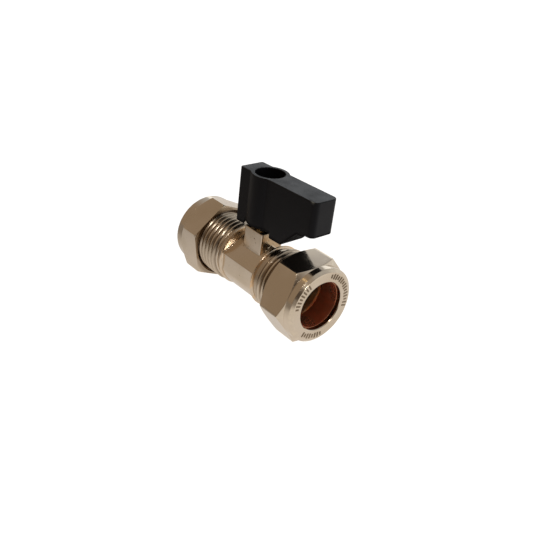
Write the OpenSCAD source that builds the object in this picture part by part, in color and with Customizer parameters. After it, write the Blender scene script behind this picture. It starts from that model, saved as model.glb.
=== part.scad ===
// Straight isolating ball valve with a lever handle and two compression ends.
// The pipe runs along X and the stem stands along Z. The origin is where the
// front pipe comes to its stop, on the pipe axis. All sizes in millimetres.

/* [Pipe and bore] */
// Outside diameter of the pipe each end takes
pipe_d = 15; // [8:0.5:22]
// Gap all round the pipe in the body socket
pipe_gap = 0.05; // [0.02:0.01:0.2]
// Diameter of the hole through the ball
bore_d = 8; // [4:0.1:12]
// Distance from the stem axis to the pipe stop
stop_x = 8.6; // [7:0.1:14]

/* [Body] */
// Length of the body from mouth to mouth
body_len = 42.8; // [34:0.1:60]
// Length of the plain barrel in the middle
barrel_len = 14.4; // [12:0.1:20]
// Metal left between the ball chamber and the flats beside the boss
flat_wall = 0.85; // [0.6:0.05:2]
// Metal between the ball chamber and the round underside
barrel_wall = 3.1; // [2:0.1:5]
// Lean of the flats beside the boss, as the angle of their normal
flat_lean = 57; // [45:1:70]
// Metal between the pipe socket and the thread crest
thread_wall = 2.9; // [2:0.1:5]
// Width of the square boss that carries the stem
boss_w = 8.6; // [8:0.1:14]
// Height of the boss above the ball chamber
boss_rise = 6.7; // [6:0.1:10]

/* [Stem] */
// Diameter of the stem
stem_d = 5.4; // [4.5:0.1:6]
// Width across the two flats at the top of the stem
stem_flats = 4.1; // [3.6:0.1:5]
// Thickness of each sealing ring
ring_section = 0.94; // [0.6:0.02:1.2]

/* [Handle] */
// Length of the lever from the stem axis to its tip
lever_len = 23.8; // [20:0.1:40]
// Width of the lever
lever_w = 8.9; // [7:0.1:12]
// Diameter of the round hub
hub_d = 11.8; // [10:0.1:16]
// Height of the handle from the hub's underside to the top
handle_h = 16; // [13:0.1:24]
// Distance from the stem axis to the blunt back end
back_len = 8.75; // [8:0.05:14]
// Depth of the lever at its tip
tip_h = 10.7; // [7:0.1:12]
// Radius of the lever's upright corners
lever_corner = 1.8; // [0.5:0.1:2.5]
// Diameter of the screw well
well_d = 9.2; // [7:0.1:10.2]
// Turn of the handle away from the pipe line, taken up by play at the ball
handle_skew = 2.3; // [0:0.1:3]

/* [Compression nuts] */
// Metal between the nut thread and the flats
nut_wall = 1.4; // [1:0.1:4]
// Length of each nut
nut_len = 12.6; // [10:0.1:18]
// Distance the front nut reaches past the body mouth
front_nut_out = 7.35; // [6.5:0.05:10]
// Distance the rear nut reaches past the body mouth
rear_nut_out = 9.5; // [6.5:0.05:11]
// Angle of the front nut's corners
front_nut_turn = -6; // [-30:1:30]
// Angle of the rear nut's corners
rear_nut_turn = 21; // [-30:1:30]
// Length of each olive
olive_len = 7; // [5:0.1:9]
// Wall of each olive at its middle
olive_wall = 1.27; // [0.8:0.01:1.6]

/* [Hidden] */
// clearances: fit is a running fit, free is the gap between pieces that don't touch
fit = 0.05;
free = 0.3;
thread_gap = 0.15;

// facets
big = 64;
small = 40;

// pipe and thread
pipe_r = pipe_d / 2;
socket_r = pipe_r + pipe_gap;
thread_r = socket_r + thread_wall;
half_body = body_len / 2;
half_barrel = barrel_len / 2;
groove_x = half_barrel + 1.3;
thread_x = groove_x + 1.6;
groove_r = thread_r - 1.05;
cone_len = 4;
cone_r = thread_r - 1.45;

// ball chamber
bore_r = bore_d / 2;
ball_r = bore_r * 1.55;
chamber_r = ball_r + 0.2;
seat_in = ball_r * 0.53;
shoulder_x = ball_r * 0.89;
flat_d = chamber_r + flat_wall;
barrel_r = chamber_r + barrel_wall;

// stem levels
stem_r = stem_d / 2;
stem_hole_r = stem_r + fit;
flange_r = stem_r + 0.6;
flange_z = chamber_r + 0.05;
flange_h = 0.65;
washer_h = 0.45;
pocket_z = flange_z + flange_h + washer_h + 0.1;
boss_z = chamber_r + boss_rise;
tang_w = 2.6;
tang_l = 5.2;
slot_w = tang_w + 0.3;
slot_z = bore_r + 0.75;

// sealing rings
gland_r = stem_hole_r - ring_section - 0.04;
gland_w = ring_section + 0.24;
gland_lo = pocket_z + 1.4;
gland_hi = gland_lo + gland_w + 0.9;

// handle levels
hub_z = boss_z + 1.7;
leg_z = boss_z + 0.25;
web_z = hub_z + 4.2;
top_z = hub_z + handle_h;
stem_top = web_z - 0.2;
tip_z = top_z - tip_h;
land_z = tip_z - 0.75;
clear_r = boss_w / sqrt(2) + free;
leg_in = clear_r + 0.55;
leg_out = leg_in + 5.4;
land_x = max(lever_len - 6, leg_out + 1.5);
step_x = max(lever_len - 2.9, land_x + 1);

// stop on the boss and tooth under the hub
stop_in = stem_r + 0.4;
stop_out = boss_w / 2 - 0.1;
tooth_from = -60;
tooth_span = 120;

// handle screw
screw_r = 1.45;
screw_head_r = 2.8;
screw_washer_r = 3.3;

// nuts and olives
nut_bore_r = thread_r + thread_gap;
nut_half = nut_bore_r + nut_wall;
corner_r = nut_half / cos(30);
lip_r = socket_r + 0.2;
olive_in = socket_r + 0.03;
olive_out = olive_in + olive_wall;
olive_seat = 1.65;
front_nut_x = half_body + front_nut_out - nut_len;
rear_nut_x = half_body + rear_nut_out - nut_len;
front_olive_x = half_body + front_nut_out - olive_seat - olive_len;
rear_olive_x = half_body + rear_nut_out - olive_seat - olive_len - 1.6;

brass = [0.80, 0.72, 0.62];
black = [0.13, 0.13, 0.14];
copper = [0.62, 0.28, 0.16];
white = [0.92, 0.92, 0.89];
rubber = [0.07, 0.07, 0.07];
steel = [0.74, 0.74, 0.74];

// Moves a piece drawn about the crossing of the stem and pipe axes to its place.
module place() {
    translate([-stop_x, 0, 0]) children();
}

// Turns a profile of [x, r] points about the pipe axis.
module turned(points, n = big) {
    rotate([0, 90, 0]) rotate_extrude($fn = n) polygon([for (p = points) [p[1], p[0]]]);
}

// Round bar along the pipe axis from x0 to x1.
module bar(r, x0, x1, n = big) {
    translate([x0, 0, 0]) rotate([0, 90, 0]) cylinder(r = r, h = x1 - x0, $fn = n);
}

// Upright round bar from z0 to z1.
module post(r, z0, z1, n = small) {
    translate([0, 0, z0]) cylinder(r = r, h = z1 - z0, $fn = n);
}

// Upright block, wx by wy, centred on the stem axis.
module block(wx, wy, z0, z1) {
    translate([-wx / 2, -wy / 2, z0]) cube([wx, wy, z1 - z0]);
}

// Wedge about the stem axis from angle a over span s.
module wedge(a, s, r, z0, z1) {
    translate([0, 0, z0]) linear_extrude(z1 - z0)
        polygon(concat([[0, 0]], [for (i = [0:4]) r * 1.5 * [cos(a + s * i / 4), sin(a + s * i / 4)]]));
}

// Part of a ring about the stem axis.
module ring_part(ri, ro, a, s, z0, z1) {
    intersection() {
        difference() {
            post(ro, z0, z1);
            post(ri, z0 - 1, z1 + 1);
        }
        wedge(a, s, ro, z0 - 1, z1 + 1);
    }
}

// Outside of one half of the body, from the middle to the mouth.
module body_end() {
    turned([[0, 0], [0, barrel_r * 0.6], [half_barrel - 0.2, barrel_r * 0.6], [half_barrel - 0.2, barrel_r],
        [half_barrel + 0.7, max(barrel_r, thread_r - 0.35)], [groove_x, max(barrel_r, thread_r - 0.35)],
        [groove_x + 0.1, groove_r], [thread_x - 0.35, groove_r], [thread_x, thread_r],
        [half_body - 0.6, thread_r], [half_body, thread_r - 0.6], [half_body, 0]]);
}

// Opening of one end of the body: pipe socket and olive cone.
module socket_cut() {
    turned([[stop_x, 0], [stop_x, socket_r], [half_body - cone_len, socket_r], [half_body, cone_r],
        [half_body + 1, cone_r], [half_body + 1, 0]]);
}

// Barrel with the two flats that lean in towards the boss.
module barrel() {
    difference() {
        bar(barrel_r, -half_barrel, half_barrel);
        for (s = [-1, 1])
            rotate([s * (flat_lean - 90), 0, 0])
                translate([-body_len, -body_len, flat_d]) cube([2 * body_len, 2 * body_len, body_len]);
    }
}

// Forged body with its stem boss, pipe sockets and ball chamber.
module valve_body() {
    color(brass) place() difference() {
        union() {
            barrel();
            body_end();
            mirror([1, 0, 0]) body_end();
            block(boss_w, boss_w, 0, boss_z);
            ring_part(stop_in, stop_out, tooth_from + tooth_span + handle_skew + 1,
                360 - tooth_span - 90 - 2, boss_z - 1, hub_z - free);
        }
        socket_cut();
        mirror([1, 0, 0]) socket_cut();
        bar(chamber_r, -stop_x - 1, shoulder_x);
        bar(bore_r, 0, stop_x + 1);
        post(flange_r + 0.1, chamber_r * 0.6, pocket_z);
        post(stem_hole_r, 0, boss_z + 5);
    }
}

// Soft ring that bears on the ball, its outer face at x1.
module seat() {
    difference() {
        bar(chamber_r - 0.02, seat_in, shoulder_x - 0.02, 48);
        bar(bore_r + 0.15, 0, stop_x, 48);
        sphere(r = ball_r + fit, $fn = 48);
    }
}

module seat_front() {
    color(white) place() seat();
}

module seat_rear() {
    color(white) place() mirror([1, 0, 0]) seat();
}

// Threaded ring that holds the rear seat, with two key slots.
module seat_retainer() {
    color(brass) place() difference() {
        bar(chamber_r - 0.02, -stop_x + 0.1, -shoulder_x - 0.02, 48);
        bar(bore_r, -stop_x - 1, 0, 48);
        for (s = [-1, 1])
            translate([-stop_x - 0.4, s * (bore_r + 0.9) - 0.9, -0.7]) cube([1.6, 1.8, 1.4]);
    }
}

// Ball with its through hole and the slot the stem drives.
module ball() {
    color(steel) place() difference() {
        sphere(r = ball_r, $fn = 48);
        bar(bore_r, -ball_r * 2, ball_r * 2, 48);
        translate([-slot_w / 2, -ball_r, slot_z]) cube([slot_w, 2 * ball_r, ball_r]);
    }
}

// Stem with driving tang, flange, two ring grooves, flats and tapped hole.
module stem() {
    color(brass) place() rotate([0, 0, handle_skew]) difference() {
        union() {
            intersection() {
                block(tang_w, tang_l, slot_z + 0.1, flange_z + 0.1);
                post(tang_l / 2, 0, flange_z + 1);
            }
            post(flange_r, flange_z, flange_z + flange_h);
            post(stem_r, flange_z, gland_lo);
            post(gland_r, gland_lo - 0.1, gland_hi + gland_w + 0.1);
            post(stem_r, gland_lo + gland_w, gland_hi);
            post(stem_r, gland_hi + gland_w, hub_z - 0.1);
            intersection() {
                post(stem_r, hub_z - 0.2, stem_top);
                block(2 * stem_d, stem_flats, hub_z - 0.2, stem_top);
            }
        }
        post(screw_r + fit, gland_hi + gland_w + 0.3, stem_top + 1);
    }
}

// Low-friction ring between the stem flange and the boss.
module thrust_washer() {
    color(white) place() difference() {
        post(flange_r, flange_z + flange_h + 0.03, flange_z + flange_h + 0.03 + washer_h);
        post(stem_hole_r, 0, boss_z);
    }
}

// Sealing ring whose groove starts at height z.
module stem_ring(z) {
    rs = ring_section / 2;
    translate([0, 0, z + gland_w / 2]) rotate_extrude($fn = small)
        translate([gland_r + 0.02 + rs, 0]) circle(r = rs, $fn = 16);
}

module stem_ring_lower() {
    color(rubber) place() stem_ring(gland_lo);
}

module stem_ring_upper() {
    color(rubber) place() stem_ring(gland_hi);
}

// Plan of a bar from x0 to x1 with four rounded corners.
module round_bar(x0, x1, w, r) {
    translate([x0 + r, -w / 2]) square([x1 - x0 - 2 * r, w]);
    translate([x0, -w / 2 + r]) square([x1 - x0, w - 2 * r]);
    for (x = [x0 + r, x1 - r])
        for (y = [-w / 2 + r, w / 2 - r])
            translate([x, y]) circle(r = r, $fn = 24);
}

// Side shape of the handle: legs, hub underside, raked throat and lever.
module handle_side() {
    rotate([90, 0, 0]) translate([0, 0, -hub_d]) linear_extrude(2 * hub_d)
        polygon([[-back_len - 1, top_z], [lever_len + 1, top_z], [lever_len + 1, tip_z], [step_x, tip_z],
            [step_x - 0.5, land_z + 0.2], [land_x, land_z], [leg_out, leg_z + 0.3], [leg_out - 0.5, leg_z],
            [leg_in, leg_z], [leg_in, hub_z], [-leg_in + 2, hub_z], [-leg_in + 2, leg_z], [-back_len - 1, leg_z]]);
}

// Lever handle with its screw well, stem socket, legs and stop tooth.
module handle() {
    color(black) place() rotate([0, 0, handle_skew]) {
        difference() {
            intersection() {
                union() {
                    post(hub_d / 2, 0, top_z, big);
                    linear_extrude(top_z) round_bar(-back_len, lever_len, lever_w, lever_corner);
                }
                handle_side();
            }
            post(well_d / 2, web_z, top_z + 1, big);
            post(clear_r, 0, hub_z, big);
            intersection() {
                post(stem_hole_r, 0, web_z + 1);
                block(3 * stem_d, stem_flats + 2 * fit, 0, web_z + 1);
            }
        }
        ring_part(stop_in, stop_out, tooth_from, tooth_span, leg_z + 0.1, hub_z + 0.2);
    }
}

// Plain washer at the bottom of the screw well.
module screw_washer() {
    color(steel) place() difference() {
        post(screw_washer_r, web_z, web_z + 0.5);
        post(screw_r + 0.2, web_z - 1, web_z + 1);
    }
}

// Handle screw with a cross slot.
module handle_screw() {
    color(steel) place() difference() {
        union() {
            post(screw_r, gland_hi + gland_w + 0.8, web_z + 0.6);
            post(screw_head_r, web_z + 0.5, web_z + 2.2);
            post(screw_head_r - 0.5, web_z + 2.1, web_z + 2.7);
        }
        for (a = [0, 90])
            rotate([0, 0, a + 20]) block(3.2, 0.7, web_z + 1.5, web_z + 4);
    }
}

// Compression nut drawn from its inner end at x = 0.
module nut(turn) {
    nose = nut_half - 0.1;
    nose_x = nut_len - 2.85;
    difference() {
        union() {
            intersection() {
                rotate([0, 90, 0]) rotate([0, 0, -turn - 90]) cylinder(r = corner_r, h = nose_x, $fn = 6);
                turned([[0, 0], [0, nut_half - 0.1], [1.4, corner_r + 0.05], [nose_x - 1.2, corner_r + 0.05],
                    [nose_x, nose], [nose_x, 0]]);
            }
            turned([[0.5, 0], [0.5, nose - 0.3], [nose_x - 0.1, nose], [nose_x + 0.1, nose], [nut_len - 1.2, nose - 0.2],
                [nut_len - 0.4, nose - 0.5], [nut_len, nose - 0.95], [nut_len, 0]]);
        }
        turned([[-1, 0], [-1, nut_bore_r + 0.35], [0, nut_bore_r + 0.35], [0.4, nut_bore_r], [nut_len - 4.3, nut_bore_r],
            [nut_len - 4.3, cone_r + 0.45], [nut_len - 3, cone_r + 0.45], [nut_len - 1.3, lip_r], [nut_len - 0.2, lip_r],
            [nut_len, lip_r + 0.2], [nut_len + 1, lip_r + 0.2], [nut_len + 1, 0]]);
    }
}

module nut_front() {
    color(brass) place() translate([front_nut_x, 0, 0]) nut(front_nut_turn);
}

module nut_rear() {
    color(brass) place() mirror([1, 0, 0]) translate([rear_nut_x, 0, 0]) nut(rear_nut_turn);
}

// Olive drawn from its inner end at x = 0.
module olive() {
    difference() {
        turned([[0, 0], [0, olive_out - 0.8], [2.3, olive_out], [olive_len - 1.7, olive_out], [olive_len, olive_out - 1.1], [olive_len, 0]]);
        bar(olive_in, -1, olive_len + 1);
    }
}

module olive_front() {
    color(copper) place() translate([front_olive_x, 0, 0]) olive();
}

module olive_rear() {
    color(copper) place() mirror([1, 0, 0]) translate([rear_olive_x, 0, 0]) olive();
}

valve_body();
seat_front();
seat_rear();
seat_retainer();
ball();
stem();
thrust_washer();
stem_ring_lower();
stem_ring_upper();
handle();
screw_washer();
handle_screw();
nut_front();
nut_rear();
olive_front();
olive_rear();
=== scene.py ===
import math

import bmesh
import bpy
import numpy as np
from mathutils import Matrix, Vector


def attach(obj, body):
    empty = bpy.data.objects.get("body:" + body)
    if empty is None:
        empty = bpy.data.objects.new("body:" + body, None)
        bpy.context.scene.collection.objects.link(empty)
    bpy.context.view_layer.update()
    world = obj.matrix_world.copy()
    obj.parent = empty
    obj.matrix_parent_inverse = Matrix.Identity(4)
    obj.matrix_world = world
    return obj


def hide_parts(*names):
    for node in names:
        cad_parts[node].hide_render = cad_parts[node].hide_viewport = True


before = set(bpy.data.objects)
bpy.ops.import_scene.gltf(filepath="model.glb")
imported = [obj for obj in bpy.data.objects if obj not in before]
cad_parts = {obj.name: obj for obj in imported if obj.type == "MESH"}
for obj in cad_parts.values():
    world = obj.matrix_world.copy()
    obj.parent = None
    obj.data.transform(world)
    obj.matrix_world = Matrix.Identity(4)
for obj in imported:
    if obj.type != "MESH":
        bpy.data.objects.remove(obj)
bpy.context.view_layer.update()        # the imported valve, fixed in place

mm = 0.001
weldDist = 1e-7          # points closer than this are one, in metres
stemX = -8.6             # the stem axis, measured from the front pipe stop, in mm
print("frame loaded")


# shared surface tools, all in mm about the crossing of stem and pipe axes

def smoothMin(a, b, k):
    # the lower of a and b, with a blend k wide where they are close
    h = np.clip(k - np.abs(a - b), 0, None) / k
    return np.minimum(a, b) - h * h * k / 4


def smoothMax(a, b, k):
    return -smoothMin(-a, -b, k)


def roundedPath(points, radii, steps=5):
    # polyline whose corners are arcs: each corner is replaced by steps + 1 points on the
    # circle that touches both its sides, with its radius cut down where the sides are short
    pts = np.array(points, float)
    out = []
    n = len(pts)
    for i in range(n):
        a, b, c = pts[i - 1], pts[i], pts[(i + 1) % n]
        r = radii[i]
        u, v = a - b, c - b
        lu, lv = np.linalg.norm(u), np.linalg.norm(v)
        if r <= 0 or lu < 1e-9 or lv < 1e-9:
            out.append(b[None])
            continue
        u, v = u / lu, v / lv
        half = math.acos(max(-1.0, min(1.0, float(u @ v)))) / 2
        t = min(r / math.tan(half), lu * 0.45, lv * 0.45)
        r = t * math.tan(half)
        mid = b + (u + v) / np.linalg.norm(u + v) * r / math.sin(half)
        s, e = b + u * t - mid, b + v * t - mid
        turn = math.pi - 2 * half
        w = np.linspace(0, 1, steps + 1)[:, None]
        out.append(mid + (np.sin((1 - w) * turn) * s + np.sin(w * turn) * e) / math.sin(turn))
    return np.concatenate(out)


def refine(path, longest, close=True, hold=0.04):
    # adds points along each side so that none is longer than longest, with one point held
    # close to each end of a long side so that shading stays flat up to the corner
    nxt = np.roll(path, -1, 0) if close else path[1:]
    cur = path if close else path[:-1]
    out = []
    for a, b in zip(cur, nxt):
        d = np.linalg.norm(b - a)
        if d < 1e-6:
            continue
        k = max(1, int(math.ceil(d / longest)))
        w = np.linspace(0, 1, k + 1)[:-1]
        if d > 4 * hold:
            w = np.unique(np.concatenate([w, [hold / d, 1 - hold / d]]))
        out.append(a + (b - a) * w[:, None])
    if not close:
        out.append(path[-1:])
    return np.concatenate(out)


def gridFaces(nu, nv, closeU, closeV):
    # quads between neighbouring points of an nu by nv grid
    i = np.arange(nu if closeU else nu - 1)
    j = np.arange(nv if closeV else nv - 1)
    i, j = [a.ravel() for a in np.meshgrid(i, j, indexing="ij")]
    i1, j1 = (i + 1) % nu, (j + 1) % nv
    return np.stack([i * nv + j, i1 * nv + j, i1 * nv + j1, i * nv + j1], 1)


def finishPiece(name, me, body, material, replaced, sharp):
    # shades and paints a finished mesh, parents it to its body and hides the CAD nodes it stands in for
    me.shade_smooth()
    me.set_sharp_from_angle(angle=math.radians(sharp))
    me.materials.append(material)
    ob = bpy.data.objects.new(name, me)
    bpy.context.scene.collection.objects.link(ob)
    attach(ob, body)
    if replaced:
        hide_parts(*replaced)
    print("made", name, len(me.polygons), "faces")
    return ob


def makePiece(name, points, faces, body, material, replaced=(), sharp=38, masks=None):
    # one closed mesh from points in mm and quads, welded, with its faces turned outwards
    me = bpy.data.meshes.new(name)
    pts = (np.asarray(points, float).reshape(-1, 3) + [stemX, 0, 0]) * mm
    me.vertices.add(len(pts))
    me.vertices.foreach_set("co", pts.ravel())
    me.loops.add(faces.size)
    me.loops.foreach_set("vertex_index", faces.ravel().astype(np.int32))
    me.polygons.add(len(faces))
    me.polygons.foreach_set("loop_start", (np.arange(len(faces)) * faces.shape[1]).astype(np.int32))
    me.update(calc_edges=True)
    for key, val in (masks or {}).items():
        mask = me.attributes.new(key, "FLOAT", "POINT")
        mask.data.foreach_set("value", np.asarray(val, np.float32).ravel())
    bm = bmesh.new()
    bm.from_mesh(me)
    bmesh.ops.remove_doubles(bm, verts=bm.verts, dist=weldDist)
    bmesh.ops.dissolve_degenerate(bm, dist=weldDist, edges=bm.edges)
    if bm.calc_volume(signed=True) < 0:
        bmesh.ops.reverse_faces(bm, faces=bm.faces)
    bm.to_mesh(me)
    bm.free()
    return finishPiece(name, me, body, material, replaced, sharp)


def aboutPipe(x, r, phi):
    # x along the pipe, r out from its axis, phi up from the front horizontal
    return np.stack([x, -r * np.cos(phi), r * np.sin(phi)], -1)


# shader groups

def newGroup(name, inputs, outputs):
    g = bpy.data.node_groups.new(name, "ShaderNodeTree")
    for label, kind, value in inputs:
        s = g.interface.new_socket(name=label, in_out="INPUT", socket_type=kind)
        if value is not None:
            s.default_value = value
    for label, kind in outputs:
        g.interface.new_socket(name=label, in_out="OUTPUT", socket_type=kind)
    return g, g.nodes.new("NodeGroupInput"), g.nodes.new("NodeGroupOutput")


def node(tree, kind, links=(), **values):
    n = tree.nodes.new(kind)
    for k, v in values.items():
        if hasattr(n, k):
            setattr(n, k, v)
        else:
            n.inputs[k.replace("_", " ")].default_value = v
    for sock, src in links:
        tree.links.new(src, n.inputs[sock])
    return n


def mathNode(tree, op, a, b=None, c=None, clamp=False):
    n = tree.nodes.new("ShaderNodeMath")
    n.operation = op
    n.use_clamp = clamp
    for i, v in enumerate((a, b, c)):
        if v is None:
            continue
        if isinstance(v, (int, float)):
            n.inputs[i].default_value = v
        else:
            tree.links.new(v, n.inputs[i])
    return n.outputs[0]


def ramp(tree, value, lo, hi, outLo=0.0, outHi=1.0):
    n = tree.nodes.new("ShaderNodeMapRange")
    n.interpolation_type = "SMOOTHSTEP"
    for key, v in (("From Min", lo), ("From Max", hi), ("To Min", outLo), ("To Max", outHi)):
        n.inputs[key].default_value = v
    tree.links.new(value, n.inputs["Value"])
    return n.outputs["Result"]


def mixColor(tree, fac, a, b):
    n = tree.nodes.new("ShaderNodeMix")
    n.data_type = "RGBA"
    for i, v in ((0, fac), (6, a), (7, b)):
        if isinstance(v, (int, float, tuple)):
            n.inputs[i].default_value = v
        else:
            tree.links.new(v, n.inputs[i])
    return n.outputs[2]


def buildGroups():
    groups = {}
    vector = ("Vector", "NodeSocketVector", None)
    # tone drift: a slow change between two tones with a finer mottle on top
    g, gi, go = newGroup("toneDrift",
                         [vector, ("Scale", "NodeSocketFloat", 120.0), ("Mottle", "NodeSocketFloat", 0.3)],
                         [("Mask", "NodeSocketFloat")])
    slow = node(g, "ShaderNodeTexNoise", [("Vector", gi.outputs[0]), ("Scale", gi.outputs[1])], Detail=2.0)
    fineScale = mathNode(g, "MULTIPLY", gi.outputs[1], 9.0)
    fine = node(g, "ShaderNodeTexNoise", [("Vector", gi.outputs[0]), ("Scale", fineScale)], Detail=4.0)
    a = ramp(g, slow.outputs["Fac"], 0.35, 0.65)
    b = mathNode(g, "MULTIPLY", mathNode(g, "SUBTRACT", fine.outputs["Fac"], 0.5), gi.outputs[2])
    g.links.new(mathNode(g, "ADD", a, b, clamp=True), go.inputs[0])
    groups["toneDrift"] = g
    # scratches: thin short lines in two directions, from stretched noise cut near its middle
    g, gi, go = newGroup("fineScratches", [vector, ("Amount", "NodeSocketFloat", 0.5)],
                         [("Mask", "NodeSocketFloat")])
    total = None
    for turn, st in (((0.3, 0.2, 0.5), (1600.0, 60.0, 900.0)), ((0.9, 0.6, 0.1), (70.0, 1500.0, 800.0))):
        m = node(g, "ShaderNodeMapping", [("Vector", gi.outputs[0])], Rotation=turn, Scale=st)
        n = node(g, "ShaderNodeTexNoise", [("Vector", m.outputs[0])], Scale=1.0, Detail=1.0)
        fromMiddle = mathNode(g, "ABSOLUTE", mathNode(g, "SUBTRACT", n.outputs["Fac"], 0.5))
        line = ramp(g, fromMiddle, 0.0, 0.02, 1.0, 0.0)
        total = line if total is None else mathNode(g, "MAXIMUM", total, line)
    patch = node(g, "ShaderNodeTexNoise", [("Vector", gi.outputs[0])], Scale=220.0, Detail=2.0)
    total = mathNode(g, "MULTIPLY", total, ramp(g, patch.outputs["Fac"], 0.5, 0.7))
    g.links.new(mathNode(g, "MULTIPLY", total, gi.outputs[1]), go.inputs[0])
    groups["fineScratches"] = g
    # stipple: the soft pitted skin of a forging or a moulding, as a height
    g, gi, go = newGroup("stipple",
                         [vector, ("Scale", "NodeSocketFloat", 2500.0), ("Pits", "NodeSocketFloat", 0.5)],
                         [("Height", "NodeSocketFloat"), ("Pit", "NodeSocketFloat")])
    grain = [("Vector", gi.outputs[0]), ("Scale", gi.outputs[1])]
    n = node(g, "ShaderNodeTexNoise", grain, Detail=4.0, Roughness=0.6)
    pitScale = mathNode(g, "MULTIPLY", gi.outputs[1], 0.35)
    v = node(g, "ShaderNodeTexVoronoi", [("Vector", gi.outputs[0]), ("Scale", pitScale)])
    pit = ramp(g, v.outputs["Distance"], 0.05, 0.3, 1.0, 0.0)
    sparse = node(g, "ShaderNodeTexNoise", [("Vector", gi.outputs[0])], Scale=400.0, Detail=2.0)
    pit = mathNode(g, "MULTIPLY", pit, ramp(g, sparse.outputs["Fac"], 0.5, 0.65))
    h = mathNode(g, "SUBTRACT", n.outputs["Fac"], mathNode(g, "MULTIPLY", pit, gi.outputs[2]))
    g.links.new(h, go.inputs[0])
    g.links.new(pit, go.inputs[1])
    groups["stipple"] = g
    # edge wear: the edge mask of a piece broken up by noise
    g, gi, go = newGroup("edgeWear",
                         [vector, ("Edge", "NodeSocketFloat", 0.0), ("Amount", "NodeSocketFloat", 0.5)],
                         [("Mask", "NodeSocketFloat")])
    n = node(g, "ShaderNodeTexNoise", [("Vector", gi.outputs[0])], Scale=700.0, Detail=4.0)
    w = mathNode(g, "MULTIPLY", gi.outputs[1], ramp(g, n.outputs["Fac"], 0.42, 0.62))
    g.links.new(mathNode(g, "MULTIPLY", w, gi.outputs[2], clamp=True), go.inputs[0])
    groups["edgeWear"] = g
    return groups


groups = buildGroups()


def useGroup(tree, name, links=(), **values):
    n = tree.nodes.new("ShaderNodeGroup")
    n.node_tree = groups[name]
    for k, v in values.items():
        n.inputs[k].default_value = v
    for sock, src in links:
        tree.links.new(src, n.inputs[sock])
    return n


def startMaterial(name):
    mat = bpy.data.materials.new(name)
    mat.use_nodes = True
    t = mat.node_tree
    t.nodes.clear()
    out = t.nodes.new("ShaderNodeOutputMaterial")
    bsdf = t.nodes.new("ShaderNodeBsdfPrincipled")
    t.links.new(bsdf.outputs[0], out.inputs[0])
    obj = t.nodes.new("ShaderNodeTexCoord").outputs["Object"]
    return mat, t, bsdf, obj


bumpDepth = 0.0001        # depth of a full bump, in metres


def addBump(t, bsdf, height, strength):
    b = node(t, "ShaderNodeBump", [("Height", height)], Strength=strength, Distance=bumpDepth)
    t.links.new(b.outputs[0], bsdf.inputs["Normal"])


def metalMaterial(name, look):
    # plated or bare metal: two tones, worn edges, scratches and a skin that suits how it was made
    mat, t, bsdf, obj = startMaterial(name)
    bsdf.inputs["Metallic"].default_value = look["metal"]
    tone = useGroup(t, "toneDrift", [("Vector", obj)], Scale=look["driftScale"], Mottle=0.35).outputs[0]
    scratch = useGroup(t, "fineScratches", [("Vector", obj)], Amount=look["scratches"]).outputs[0]
    skin = useGroup(t, "stipple", [("Vector", obj)], Scale=look["skinScale"], Pits=look["pits"])
    edge = node(t, "ShaderNodeAttribute", attribute_name="edge")
    rubbed = [("Vector", obj), ("Edge", edge.outputs["Fac"])]
    worn = useGroup(t, "edgeWear", rubbed, Amount=look["wear"]).outputs[0]
    col = mixColor(t, tone, look["toneA"], look["toneB"])
    col = mixColor(t, worn, col, look["wornTone"])
    col = mixColor(t, mathNode(t, "MULTIPLY", skin.outputs["Pit"], look["pits"] * 0.6), col, look["pitTone"])
    # painted shade: paintedShadeTone is laid over the colour where the deep mask is set
    paintedShade = node(t, "ShaderNodeAttribute", attribute_name="paintedShade")
    col = mixColor(t, paintedShade.outputs["Fac"], col, look["paintedShadeTone"])
    t.links.new(col, bsdf.inputs["Base Color"])
    r = mathNode(t, "MULTIPLY_ADD", tone, look["roughSpread"], look["rough"])
    r = mathNode(t, "MULTIPLY_ADD", scratch, 0.25, r)
    r = mathNode(t, "MULTIPLY_ADD", skin.outputs["Pit"], 0.15, r, clamp=True)
    t.links.new(r, bsdf.inputs["Roughness"])
    h = mathNode(t, "SUBTRACT", mathNode(t, "MULTIPLY", skin.outputs["Height"], look["skinHeight"]),
                 mathNode(t, "MULTIPLY", scratch, 0.25))
    addBump(t, bsdf, h, look["bump"])
    return mat


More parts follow.
